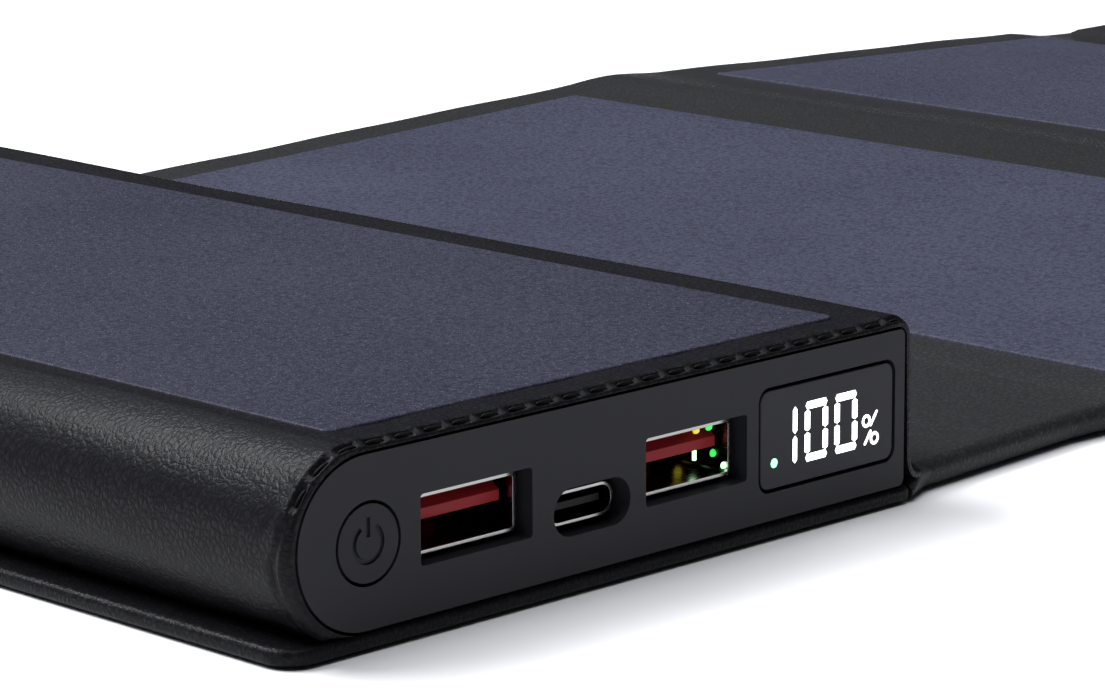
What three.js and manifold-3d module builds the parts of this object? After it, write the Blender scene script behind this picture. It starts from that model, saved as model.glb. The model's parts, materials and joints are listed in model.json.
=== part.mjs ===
// A folding solar power bank: a leather-wrapped battery body with one solar panel on top,
// and a chain of three leather-bound panels that folds out beside it on soft hinges.
// Millimetres. X runs along the port face towards the fold-out panels, Y runs back from
// the port face, Z is up. The origin is on the underside of the base, below the body's centre.
import * as THREE from "three";
import { mergeVertices } from "three/addons/utils/BufferGeometryUtils.js";
import Module from "manifold-3d";

const wasm = await Module();
wasm.setup();

// Driving dimensions.
const LENGTH = 180; // the body and every leaf, along Y
const GAP = 0.3; // between pieces that touch
const LEATHER = 1.1; // sleeve thickness
const BASE_THICK = 1.6;
const CORNER_R = 3.5; // base board's corners

const CAP_RIGHT = 42; // right edge of the moulded end caps
const CAP_BOTTOM = 2;
const CAP_TOP = 18.3;
const CAP_CORNER = 0.8;
const CAP_DEPTH = 6;
const CAP_PLATE = 3;
const CAP_RIM = 2;
const HOUSING_WALL = 1.6;

const CELL_THICK = 0.9; // solar laminate
const TOP_CELL = { x: [-31.9, 37.1], y: [-85, 85], top: 19.5 };
const LEAF_CELL_Y = [-84, 84];

const SOCKET_RECESS = 1.67; // shells sit this far behind the face
const USB_A = { x: [-18.25, 11.25], z: 10.03, hole: [14.26, 6.77], shell: [13.1, 5.7], depth: 14.3 };
const USB_C = { x: -3.17, z: 8.11, hole: [10.3, 4.7], shell: [8.94, 3.26], depth: 8.3 };
const SHELL_WALL = 0.35;
const TONGUE = { width: 11.2, thick: 1.85, lip: 1.05, setBack: 1.2, slope: 1 };
const TONGUE_BLOCK = { width: 11.8, depth: 4, halfHeight: 2.2 };
const BLOCK_END = 0.8; // from a tongue's back block to the end of its shell
const SMALL_TONGUE = { halfWidth: 3.35, halfHeight: 0.35, setBack: 0.8 };

const BUTTON = { x: -31.8, z: 10.06, radius: 3.67, clearance: 0.32, travel: 0.5 };
const KEY = { depth: 3.5, flange: 4.8, flangeEnd: 4.1, stem: 1.5, stemStart: 4, stemEnd: 5.6 };
const ICON = { depth: 0.25, inner: 1.5, outer: 1.95, bar: 0.22, barLow: 0.6, barHigh: 2.4 };
const DISPLAY = { x: 30.31, z: 10.17, width: 20.5, height: 10.7, corner: 1.5, groove: 0.35 };
const STATUS_LED = { x: 22.4, z: 7.76, radius: 0.6 };

// Hinge axes all run along Y, at these places in X and Z.
const AXIS_A = { x: 48.1, z: 3.2 };
const AXIS_B = { x: 77.6, z: 4.3 };
const AXIS_C = { x: 185.6, z: 9.1 };
const AXIS_D = { x: 292.6, z: -0.3 };
const FOLD_GAP = 0.2; // each half strip stops this far from its axis
const STRIP_Z = [0.8, 2.6];

const SPINE_X = [52.3, 73.3];
const SPINE_TOP = 3.2;
const LEAF_TOP = 4;
const LEAF_MARGIN = 2.5; // stiffener inside the leather
const LEAVES = {
  2: { x: [81.9, 174.6], cell: [89.6, 170.6], climb: 2.4, pivot: AXIS_B.x, pivotZ: AXIS_B.z },
  3: { x: [196.6, 285.6], cell: [201.6, 282.6], climb: -2.35, pivot: AXIS_D.x, pivotZ: 0 },
  4: { x: [299.6, 390], cell: [303.6, 384.6], climb: 0, pivot: AXIS_D.x, pivotZ: 0 },
};

const FRONT = -LENGTH / 2;
const BACK = LENGTH / 2;
const CAP_MIDDLE = (CAP_TOP + CAP_BOTTOM) / 2;
const END_R = (CAP_TOP - CAP_BOTTOM) / 2; // the rounded left side
const END_X = -32.15; // centre of that rounding
const SLEEVE_OUT = GAP + LEATHER;
const SLEEVE_LEFT = END_X - END_R - SLEEVE_OUT;
const SLEEVE_RIGHT = CAP_RIGHT + SLEEVE_OUT;
const FACE_BACK = FRONT + CAP_PLATE;
const SHELL_FRONT = FRONT + SOCKET_RECESS;
const SWITCH_FRONT = FRONT + 6.2;
const BOARD_TOP = 6.1;

const finish = (color, roughness, metalness = 0) =>
  new THREE.MeshStandardMaterial({ color, roughness, metalness });
const LEATHER_LOOK = finish(0x17171a, 0.6);
const MOULDING = finish(0x33343c, 0.55);
const LAMINATE = finish(0x484858, 0.5);
const STEEL = finish(0xb8bac0, 0.25, 1);
const RED = finish(0x8c1f22, 0.45);
const BLACK = finish(0x141416, 0.5);
const STIFFENER = finish(0x2e2a26, 0.9);
const CIRCUIT = finish(0x1c4a2c, 0.5);
const FOIL = finish(0x8a8d92, 0.4, 0.8);
const FOAM = finish(0x303030, 0.95);
const SLEEVED = finish(0x9a8860, 0.4, 0.5);
const SMOKED = finish(0x2b2c34, 0.2);
const GREEN = finish(0x2fd068, 0.4);

const part = new THREE.Group();
part.name = "solar_power_bank";

function place(parent, name, geometry, material) {
  const mesh = new THREE.Mesh(geometry, material);
  mesh.name = name;
  parent.add(mesh);
  return mesh;
}

// A box between two corners, given as [low, high] along each axis.
function box(x, y, z) {
  const geometry = new THREE.BoxGeometry(x[1] - x[0], y[1] - y[0], z[1] - z[0]);
  return geometry.translate((x[0] + x[1]) / 2, (y[0] + y[1]) / 2, (z[0] + z[1]) / 2);
}

// A rectangle round a centre, with an arc at each corner.
function roundedRectangle(width, height, radius, centreX = 0, centreY = 0) {
  const right = width / 2 - radius;
  const top = height / 2 - radius;
  const shape = new THREE.Shape();
  shape.absarc(centreX + right, centreY - top, radius, -Math.PI / 2, 0);
  shape.absarc(centreX + right, centreY + top, radius, 0, Math.PI / 2);
  shape.absarc(centreX - right, centreY + top, radius, Math.PI / 2, Math.PI);
  shape.absarc(centreX - right, centreY - top, radius, Math.PI, 1.5 * Math.PI);
  return shape;
}

// The body's end outline, in X and Z: half round at the left, nearly square at the right.
function endOutline(grow) {
  const corner = Math.max(CAP_CORNER + grow, 0.4);
  const right = CAP_RIGHT + grow - corner;
  const top = CAP_TOP + grow - corner;
  const bottom = CAP_BOTTOM - grow + corner;
  const shape = new THREE.Shape();
  shape.absarc(right, bottom, corner, -Math.PI / 2, 0);
  shape.absarc(right, top, corner, 0, Math.PI / 2);
  shape.absarc(END_X, CAP_MIDDLE, END_R + grow, Math.PI / 2, 1.5 * Math.PI);
  return shape;
}

// An outline in X and Z, run along Y.
function alongY(shape, y0, y1, curveSegments = 12) {
  const options = { depth: y1 - y0, bevelEnabled: false, curveSegments };
  return new THREE.ExtrudeGeometry(shape, options).rotateX(Math.PI / 2).translate(0, y1, 0);
}

// An outline in X and Y, run upwards.
function upwards(shape, z0, z1) {
  const options = { depth: z1 - z0, bevelEnabled: false, curveSegments: 8 };
  return new THREE.ExtrudeGeometry(shape, options).translate(0, 0, z0);
}

function circle(x, z, radius) {
  const shape = new THREE.Shape();
  shape.absarc(x, z, radius, 0, 2 * Math.PI);
  return shape;
}

function toSolid(geometry) {
  const bare = new THREE.BufferGeometry();
  bare.setAttribute("position", geometry.getAttribute("position"));
  bare.setIndex(geometry.index);
  const merged = mergeVertices(bare, 1e-4);
  const vertProperties = new Float32Array(merged.attributes.position.array);
  const triVerts = new Uint32Array(merged.index.array);
  return new wasm.Manifold(new wasm.Mesh({ numProp: 3, vertProperties, triVerts }));
}

function toGeometry(solid) {
  const mesh = solid.getMesh();
  const geometry = new THREE.BufferGeometry();
  const position = new THREE.BufferAttribute(new Float32Array(mesh.vertProperties), 3);
  geometry.setAttribute("position", position);
  geometry.setIndex(new THREE.BufferAttribute(new Uint32Array(mesh.triVerts), 1));
  geometry.computeVertexNormals();
  return geometry;
}

const cut = (geometry, ...tools) =>
  toGeometry(tools.reduce((solid, tool) => solid.subtract(toSolid(tool)), toSolid(geometry)));
const join = (geometry, ...others) =>
  toGeometry(others.reduce((solid, other) => solid.add(toSolid(other)), toSolid(geometry)));

// Base board under the body.
function addBase(body) {
  const middle = (SLEEVE_LEFT + SLEEVE_RIGHT) / 2;
  const outline = roundedRectangle(SLEEVE_RIGHT - SLEEVE_LEFT, LENGTH, CORNER_R, middle, 0);
  place(body, "base_board", upwards(outline, 0, BASE_THICK), LEATHER_LOOK);
}

// Leather sleeve: over the top, round the left side and down the right, open underneath,
// with a window for the top panel.
function addSleeve(body) {
  const ring = endOutline(SLEEVE_OUT);
  ring.holes.push(endOutline(GAP));
  const under = box([-60, 60], [-100, 100], [-5, BASE_THICK + GAP]);
  const opening = box(
    [TOP_CELL.x[0] - GAP, TOP_CELL.x[1] + GAP],
    [TOP_CELL.y[0] - GAP, TOP_CELL.y[1] + GAP],
    [CAP_TOP, CAP_TOP + 5],
  );
  place(body, "leather_sleeve", cut(alongY(ring, FRONT, BACK, 24), under, opening), LEATHER_LOOK);
}

// Battery housing: an extruded tube between the two end caps.
function addHousing(body) {
  const tube = endOutline(0);
  tube.holes.push(endOutline(-HOUSING_WALL));
  const end = BACK - CAP_DEPTH - GAP;
  place(body, "housing", alongY(tube, -end, end, 16), MOULDING);
}

// An end cap is a plate with a rim behind it.
function capBlank(faceY, direction) {
  const rimEnd = faceY + direction * CAP_DEPTH;
  const plateEnd = faceY + direction * CAP_PLATE;
  const whole = alongY(endOutline(0), Math.min(faceY, rimEnd), Math.max(faceY, rimEnd), 20);
  const low = Math.min(plateEnd, rimEnd + direction);
  const high = Math.max(plateEnd, rimEnd + direction);
  return cut(whole, alongY(endOutline(-CAP_RIM), low, high, 20));
}

function addCaps(body) {
  const through = (shape) => alongY(shape, FRONT - 1, FACE_BACK + 1, 16);
  const holes = USB_A.x.map((x) =>
    through(roundedRectangle(USB_A.hole[0], USB_A.hole[1], 0.4, x, USB_A.z)),
  );
  holes.push(through(roundedRectangle(USB_C.hole[0], USB_C.hole[1], 2.3, USB_C.x, USB_C.z)));
  holes.push(through(circle(BUTTON.x, BUTTON.z, BUTTON.radius + BUTTON.clearance)));
  const frame = roundedRectangle(
    DISPLAY.width, DISPLAY.height, DISPLAY.corner, DISPLAY.x, DISPLAY.z,
  );
  holes.push(through(frame));
  place(body, "front_cap", cut(capBlank(FRONT, 1), ...holes), MOULDING);
  place(body, "rear_cap", capBlank(BACK, -1), MOULDING);
}

// Power button: a round key with a flange behind the cap and a stem for the switch.
function addButton() {
  const button = new THREE.Group();
  button.name = "button";
  button.position.set(BUTTON.x, FRONT, BUTTON.z);
  const key = alongY(circle(0, 0, BUTTON.radius), 0, KEY.depth, 24);
  const flange = alongY(circle(0, 0, KEY.flange), CAP_PLATE + GAP, KEY.flangeEnd, 20);
  const stem = alongY(circle(0, 0, KEY.stem), KEY.stemStart, KEY.stemEnd);
  const arc = new THREE.Shape();
  const opening = 0.55; // half the gap at the top of the symbol, in radians
  arc.absarc(0, 0, ICON.outer, Math.PI / 2 + opening, 2.5 * Math.PI - opening);
  arc.absarc(0, 0, ICON.inner, 2.5 * Math.PI - opening, Math.PI / 2 + opening, true);
  const ring = alongY(arc, -1, ICON.depth);
  const bar = box([-ICON.bar, ICON.bar], [-1, ICON.depth], [ICON.barLow, ICON.barHigh]);
  place(button, "power_button", cut(join(key, flange, stem), ring, bar), MOULDING);
  part.add(button);
}

// A large socket: folded steel shell round a plastic tongue with its own back block.
function addLargeSocket(body, side, x) {
  const [width, height] = USB_A.shell;
  const back = SHELL_FRONT + USB_A.depth;
  const outer = alongY(roundedRectangle(width, height, 0.5, x, USB_A.z), SHELL_FRONT, back, 4);
  const bore = roundedRectangle(width - 2 * SHELL_WALL, height - 2 * SHELL_WALL, 0.3, x, USB_A.z);
  const hollow = alongY(bore, SHELL_FRONT - 1, back - SHELL_WALL, 4);
  place(body, "usb_a_shell_" + side, cut(outer, hollow), STEEL);
  const low = USB_A.z;
  const profile = new THREE.Shape();
  const tip = SHELL_FRONT + TONGUE.setBack;
  const root = back - 1.4;
  const top = low + TONGUE.thick;
  profile.moveTo(tip, low);
  profile.lineTo(root, low);
  profile.lineTo(root, top);
  profile.lineTo(tip + TONGUE.slope, top);
  profile.lineTo(tip, low + TONGUE.lip);
  const blade = new THREE.ExtrudeGeometry(profile, { depth: TONGUE.width, bevelEnabled: false });
  blade.rotateX(Math.PI / 2).rotateZ(Math.PI / 2).translate(x - TONGUE.width / 2, 0, 0);
  const block = box(
    [x - TONGUE_BLOCK.width / 2, x + TONGUE_BLOCK.width / 2],
    [back - TONGUE_BLOCK.depth, back - BLOCK_END],
    [low - TONGUE_BLOCK.halfHeight, low + TONGUE_BLOCK.halfHeight],
  );
  place(body, "usb_a_tongue_" + side, join(blade, block), RED);
}

function addSmallSocket(body) {
  const [width, height] = USB_C.shell;
  const back = SHELL_FRONT + USB_C.depth;
  const outer = alongY(roundedRectangle(width, height, 1.6, USB_C.x, USB_C.z), SHELL_FRONT, back);
  const bore = roundedRectangle(width - 0.6, height - 0.6, 1.3, USB_C.x, USB_C.z);
  const hollow = alongY(bore, SHELL_FRONT - 1, back - SHELL_WALL);
  place(body, "usb_c_shell", cut(outer, hollow), STEEL);
  const block = alongY(roundedRectangle(7.6, 1.9, 0.9, USB_C.x, USB_C.z), back - 3, back - BLOCK_END);
  const blade = box(
    [USB_C.x - SMALL_TONGUE.halfWidth, USB_C.x + SMALL_TONGUE.halfWidth],
    [SHELL_FRONT + SMALL_TONGUE.setBack, back - 2],
    [USB_C.z - SMALL_TONGUE.halfHeight, USB_C.z + SMALL_TONGUE.halfHeight],
  );
  place(body, "usb_c_tongue", join(block, blade), BLACK);
}

// Charge display behind its window, with a status light at its lower left.
function addDisplay(body) {
  const inset = 2 * DISPLAY.groove;
  const lens = roundedRectangle(
    DISPLAY.width - inset, DISPLAY.height - inset, DISPLAY.corner - 0.3, DISPLAY.x, DISPLAY.z,
  );
  place(body, "display_window", alongY(lens, FRONT + 0.05, FRONT + 1.1), SMOKED);
  const module = box([23.2, 39.6], [FRONT + 1.4, FRONT + 5], [6, 14.3]);
  place(body, "display_module", module, BLACK);
  const lamp = circle(STATUS_LED.x, STATUS_LED.z, STATUS_LED.radius);
  place(body, "status_led", alongY(lamp, FRONT + 1.4, FRONT + 4, 8), GREEN);
}

function addElectronics(body) {
  const onBoard = BOARD_TOP + GAP;
  place(body, "main_board", box([-34.5, 39], [-82.5, -58], [4.5, BOARD_TOP]), CIRCUIT);
  const choke = roundedRectangle(10, 10, 1.5, -9, -65);
  place(body, "inductor", upwards(choke, onBoard, onBoard + 5), BLACK);
  place(body, "power_chip", box([2, 9], [-68, -61], [onBoard, onBoard + 1]), BLACK);
  const can = (x) => box([x - 2, x + 2], [-70, -62], [onBoard, onBoard + 3]);
  place(body, "capacitor_left", can(-22), SLEEVED);
  place(body, "capacitor_right", can(22), SLEEVED);
  const keySwitch = box(
    [BUTTON.x - 3, BUTTON.x + 3],
    [SWITCH_FRONT, SWITCH_FRONT + 3.4],
    [onBoard, BUTTON.z + 2.5],
  );
  place(body, "tact_switch", keySwitch, BLACK);
}

function addBattery(body) {
  const pouch = (low, high) =>
    upwards(roundedRectangle(high - low, 125, 2, (low + high) / 2, 12.5), 4.2, 15.2);
  place(body, "battery_cell_left", pouch(-30.5, 3.2), FOIL);
  place(body, "battery_cell_right", pouch(3.8, 38), FOIL);
  place(body, "protection_board", box([-15, 22], [-57, -51.5], [9, 10]), CIRCUIT);
  place(body, "foam_pad", box([-30, 38], [-50, 75], [15.5, 16.4]), FOAM);
}

function addTopPanel(body) {
  const cell = box(TOP_CELL.x, TOP_CELL.y, [TOP_CELL.top - CELL_THICK, TOP_CELL.top]);
  place(body, "solar_panel_1", cell, LAMINATE);
}

// Half of a soft hinge: a strip of leather that ends just short of the fold.
function addStrip(parent, name, x0, x1) {
  place(parent, name, box([x0, x1], [FRONT, BACK], STRIP_Z), LEATHER_LOOK);
}

// Spine: the wide band that stands up beside the body when the leaves are folded over it.
function addSpine() {
  const spine = new THREE.Group();
  spine.name = "spine";
  const [left, right] = SPINE_X;
  place(spine, "spine_back", box(SPINE_X, [FRONT, BACK], [0, 0.9]), LEATHER_LOOK);
  const board = box([left + 1.5, right - 1.5], [FRONT + 3, BACK - 3], [1.2, 2]);
  place(spine, "spine_board", board, STIFFENER);
  place(spine, "spine_top", box(SPINE_X, [FRONT, BACK], [2.3, SPINE_TOP]), LEATHER_LOOK);
  addStrip(spine, "hinge_a_spine_strip", AXIS_A.x + FOLD_GAP, left - GAP);
  addStrip(spine, "hinge_b_spine_strip", right + GAP, AXIS_B.x - FOLD_GAP);
  part.add(spine);
}

// A leaf: back leather, stiff board, top leather with a window, and the solar laminate.
// Its group turns it about its pivot line to its resting slope.
function addLeaf(number, strips) {
  const { x, cell, climb, pivot, pivotZ } = LEAVES[number];
  const leaf = new THREE.Group();
  leaf.name = "leaf_" + number;
  const inner = new THREE.Group();
  inner.position.set(-pivot, 0, -pivotZ);
  leaf.add(inner);
  leaf.position.set(pivot, 0, pivotZ);
  leaf.rotation.y = THREE.MathUtils.degToRad(-climb);
  const whole = [FRONT, BACK];
  const inset = (pair, by) => [pair[0] + by, pair[1] - by];
  place(inner, leaf.name + "_back", box(x, whole, [0, 1]), LEATHER_LOOK);
  const board = box(inset(x, LEAF_MARGIN), inset(whole, LEAF_MARGIN), [1.3, 2.7]);
  place(inner, leaf.name + "_board", board, STIFFENER);
  const pocketSize = LEAF_MARGIN - GAP;
  const pocket = box(inset(x, pocketSize), inset(whole, pocketSize), [0, 3]);
  const opening = box(inset(cell, -GAP), inset(LEAF_CELL_Y, -GAP), [2, 6]);
  const cover = cut(box(x, whole, [1.3, LEAF_TOP]), pocket, opening);
  place(inner, leaf.name + "_frame", cover, LEATHER_LOOK);
  const panel = box(cell, LEAF_CELL_Y, [LEAF_TOP - 0.1 - CELL_THICK, LEAF_TOP - 0.1]);
  place(inner, "solar_panel_" + number, panel, LAMINATE);
  strips.forEach(([name, x0, x1]) => addStrip(inner, name, x0, x1));
  part.add(leaf);
}

const body = new THREE.Group();
body.name = "body";
part.add(body);
addBase(body);
addSleeve(body);
addHousing(body);
addCaps(body);
addButton();
addLargeSocket(body, "left", USB_A.x[0]);
addSmallSocket(body);
addLargeSocket(body, "right", USB_A.x[1]);
addDisplay(body);
addElectronics(body);
addBattery(body);
addTopPanel(body);
addStrip(body, "hinge_a_base_strip", SLEEVE_RIGHT + GAP, AXIS_A.x - FOLD_GAP);
addSpine();
addLeaf(2, [
  ["hinge_b_leaf_strip", AXIS_B.x + FOLD_GAP, LEAVES[2].x[0] - GAP],
  ["hinge_c_near_strip", LEAVES[2].x[1] + GAP, AXIS_C.x - FOLD_GAP],
]);
addLeaf(3, [
  ["hinge_c_far_strip", AXIS_C.x + FOLD_GAP, LEAVES[3].x[0] - GAP],
  ["hinge_d_near_strip", LEAVES[3].x[1] + GAP, AXIS_D.x - FOLD_GAP],
]);
addLeaf(4, [["hinge_d_far_strip", AXIS_D.x + FOLD_GAP, LEAVES[4].x[0] - GAP]]);

export default part;
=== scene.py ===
import json
import math

import bmesh
import bpy
import numpy as np
from mathutils import Matrix, Vector

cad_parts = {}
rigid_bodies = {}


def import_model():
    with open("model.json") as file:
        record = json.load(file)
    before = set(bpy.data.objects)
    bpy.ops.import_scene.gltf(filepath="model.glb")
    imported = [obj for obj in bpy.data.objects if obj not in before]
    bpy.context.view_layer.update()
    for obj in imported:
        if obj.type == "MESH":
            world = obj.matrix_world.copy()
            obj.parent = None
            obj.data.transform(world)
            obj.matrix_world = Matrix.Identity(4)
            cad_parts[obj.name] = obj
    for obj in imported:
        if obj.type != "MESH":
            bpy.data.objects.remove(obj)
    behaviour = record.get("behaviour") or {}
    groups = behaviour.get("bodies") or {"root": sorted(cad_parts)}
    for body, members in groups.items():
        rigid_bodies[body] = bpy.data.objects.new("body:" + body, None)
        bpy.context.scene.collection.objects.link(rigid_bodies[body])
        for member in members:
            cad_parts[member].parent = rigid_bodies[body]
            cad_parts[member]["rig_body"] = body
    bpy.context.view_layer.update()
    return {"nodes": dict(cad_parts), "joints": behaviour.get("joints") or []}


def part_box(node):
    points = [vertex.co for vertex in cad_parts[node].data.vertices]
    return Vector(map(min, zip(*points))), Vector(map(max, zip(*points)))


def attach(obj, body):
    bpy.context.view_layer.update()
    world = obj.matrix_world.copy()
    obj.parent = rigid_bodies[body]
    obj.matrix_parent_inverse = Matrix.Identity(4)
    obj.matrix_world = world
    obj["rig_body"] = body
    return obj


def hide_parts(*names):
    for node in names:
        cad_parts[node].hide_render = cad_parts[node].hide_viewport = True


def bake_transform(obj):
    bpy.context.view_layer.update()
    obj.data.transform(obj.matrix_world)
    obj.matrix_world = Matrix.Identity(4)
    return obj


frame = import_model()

# The set: a pale table, a broad softbox high behind the power bank, a wide overhead fill, a
# dark room with a bright ceiling, and a low camera off its front left corner. Lengths in this
# script are millimetres, apart from lamps and table, which are placed in metres.
MM = 0.001
EYE = Vector((-282.0, -363.8, 109.3)) * MM
HEADING, DIP, ROLL = math.radians(44.98), math.radians(12.39), math.radians(-0.3)
FOCAL_LENGTH, SENSOR_WIDTH = 139.44, 36
SOFTBOX_COLOUR = (0.97, 0.98, 1.0)

forward = Vector((
    math.sin(HEADING) * math.cos(DIP),
    math.cos(HEADING) * math.cos(DIP),
    -math.sin(DIP),
))
level = Vector((math.cos(HEADING), -math.sin(HEADING), 0))
upright = level.cross(forward)
side = level * math.cos(ROLL) + upright * math.sin(ROLL)
top = upright * math.cos(ROLL) - level * math.sin(ROLL)

lens = bpy.data.cameras.new("camera")
lens.sensor_width = SENSOR_WIDTH
lens.lens = FOCAL_LENGTH
lens.clip_start = 0.02
camera = bpy.data.objects.new("camera", lens)
turned_to_view = Matrix((side, top, -forward)).transposed().to_4x4()
camera.matrix_world = Matrix.Translation(EYE) @ turned_to_view
bpy.context.scene.collection.objects.link(camera)
bpy.context.scene.camera = camera
bpy.context.scene.view_settings.view_transform = "Standard"


def softbox(name, place, aim, size, power):
    """A rectangular area light at place, turned to face aim; size is its width and height."""
    light = bpy.data.lights.new(name, "AREA")
    light.shape = "RECTANGLE"
    light.size, light.size_y = size
    light.energy = power
    light.color = SOFTBOX_COLOUR
    lamp = bpy.data.objects.new(name, light)
    lamp.location = place
    lamp.rotation_euler = (Vector(aim) - Vector(place)).to_track_quat("-Z", "Y").to_euler()
    bpy.context.scene.collection.objects.link(lamp)


softbox("key_softbox", (-0.36, 0.6, 0.98), (0.05, 0.0, 0.0), (0.8, 0.5), 18.0)
softbox("top_fill", (0.0, -0.1, 1.5), (0.1, 0.1, 0.0), (1.2, 1.2), 16.0)

world = bpy.data.worlds.new("studio")
world.use_nodes = True
bpy.context.scene.world = world


def node(material, kind, inputs=None, **settings):
    """Adds one shader node: settings are its options, inputs are values or sockets to join."""
    made = material.node_tree.nodes.new("ShaderNode" + kind)
    for key, value in settings.items():
        setattr(made, key, value)
    for key, value in (inputs or {}).items():
        if isinstance(value, bpy.types.NodeSocket):
            material.node_tree.links.new(value, made.inputs[key])
        else:
            made.inputs[key].default_value = value
    return made


def finish_of(name, colour, roughness, metallic=0.0, **constants):
    """A new material whose Principled shader has these constant values on its own sockets."""
    material = bpy.data.materials.new(name)
    material.use_nodes = True
    shader = material.node_tree.nodes["Principled BSDF"]
    shader.inputs["Base Color"].default_value = (*colour, 1)
    shader.inputs["Roughness"].default_value = roughness
    shader.inputs["Metallic"].default_value = metallic
    for key, value in constants.items():
        shader.inputs[key.replace("_", " ")].default_value = value
    return material


def join_shader(material, **sockets):
    """Joins worked-out values to the material's Principled shader."""
    shader = material.node_tree.nodes["Principled BSDF"]
    for key, socket in sockets.items():
        material.node_tree.links.new(socket, shader.inputs[key.replace("_", " ")])


def spread(material, value, low, high, start=0.3, end=0.7):
    """Maps a pattern's value from start..end onto low..high."""
    inputs = {"Value": value, "From Min": start, "From Max": end, "To Min": low, "To Max": high}
    return node(material, "MapRange", inputs).outputs["Result"]


def tint(material, value, dark, light, start=0.3, end=0.7):
    """A colour between dark and light by a pattern's value."""
    inputs = {0: spread(material, value, 0.0, 1.0, start, end), 6: (*dark, 1), 7: (*light, 1)}
    return node(material, "Mix", inputs, data_type="RGBA").outputs[2]


ROOM, CEILING, BACKDROP = (0.03, 0.03, 0.034), (0.80, 0.82, 0.88), (0.93, 0.94, 0.96, 1)
CEILING_WAY = (-0.16, 0.50, 0.85)
CEILING_SPAN = (0.55, 0.95)
facing = node(
    world,
    "VectorMath",
    {0: node(world, "TexCoord").outputs["Generated"], 1: CEILING_WAY},
    operation="DOT_PRODUCT",
)
sky = tint(world, facing.outputs["Value"], ROOM, CEILING, *CEILING_SPAN)
seen = node(world, "LightPath").outputs["Is Camera Ray"]
seen_sky = node(world, "Mix", {0: seen, 6: sky, 7: BACKDROP}, data_type="RGBA")
backdrop = world.node_tree.nodes["Background"]
world.node_tree.links.new(seen_sky.outputs[2], backdrop.inputs["Color"])


def object_place(material):
    """Places in the object's own frame, in metres, for a pattern to follow."""
    return node(material, "TexCoord").outputs["Object"]


TABLE_HALF, TABLE_Z = 6, -0.0002
table = bpy.data.meshes.new("table")
table_corners = [
    (x * TABLE_HALF, y * TABLE_HALF, TABLE_Z) for x, y in ((-1, -1), (1, -1), (1, 1), (-1, 1))
]
table.from_pydata(table_corners, [], [(0, 1, 2, 3)])
table_finish = finish_of("white_table", (0.9, 0.9, 0.91), 0.7)
paper = node(table_finish, "TexNoise", {"Vector": object_place(table_finish), "Scale": 60.0})
table_paint = tint(table_finish, paper.outputs["Fac"], (0.89, 0.89, 0.9), (0.91, 0.91, 0.92))
join_shader(table_finish, Base_Color=table_paint)
table.materials.append(table_finish)
table_top = bpy.data.objects.new("table_top", table)
bpy.context.scene.collection.objects.link(table_top)


# Base board: a thin stiff board wrapped in black grained imitation leather, with rounded
# corners. The whole body is glued down on it and it is what rests on the table.
BOARD_CORNERS, BOARD_EDGE = (3.5, 0.9), 0.75
BOARD_WRAP = 0.2
LEAST_RADIUS = 0.02
PEBBLES, SMALL_PEBBLES, PORES = 1350.0, 2900.0, 5200.0
BLACK, BLACK_PEBBLE_TOP = (0.005, 0.005, 0.006), (0.0115, 0.0115, 0.0135)
# The fold-out leather is the sleeve's leather painted lighter: the light on the fold-out is
# painted into its colour.
FOLD_OUT_BLACK_PAINTED_LIGHTER, FOLD_OUT_PEBBLE_TOP_PAINTED_LIGHTER = (0.0175, 0.0178, 0.0185), (0.031, 0.0318, 0.033)


def closed_mesh(name, points, faces, material, sharp=None):
    """A smooth-shaded object from points and faces, with every face turned outwards.

    Edges that bend by more than sharp degrees keep a hard shade.
    """
    mesh = bpy.data.meshes.new(name)
    mesh.from_pydata((np.asarray(points) * MM).tolist(), [], faces)
    work = bmesh.new()
    work.from_mesh(mesh)
    bmesh.ops.recalc_face_normals(work, faces=work.faces)
    work.to_mesh(mesh)
    work.free()
    mesh.polygons.foreach_set("use_smooth", [True] * len(mesh.polygons))
    if sharp:
        mesh.set_sharp_from_angle(angle=math.radians(sharp))
    mesh.materials.append(material)
    piece = bpy.data.objects.new(name, mesh)
    bpy.context.scene.collection.objects.link(piece)
    return piece


def skin(rings):
    """Faces of a grid of closed rings, each joined to the next, and the grid's point numbers."""
    count, around = rings.shape[:2]
    index = np.arange(count * around).reshape(count, around)
    turned = np.roll(index, -1, axis=1)
    quads = np.stack([index[:-1], turned[:-1], turned[1:], index[1:]], axis=-1)
    return quads.reshape(-1, 4).tolist(), index


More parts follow.
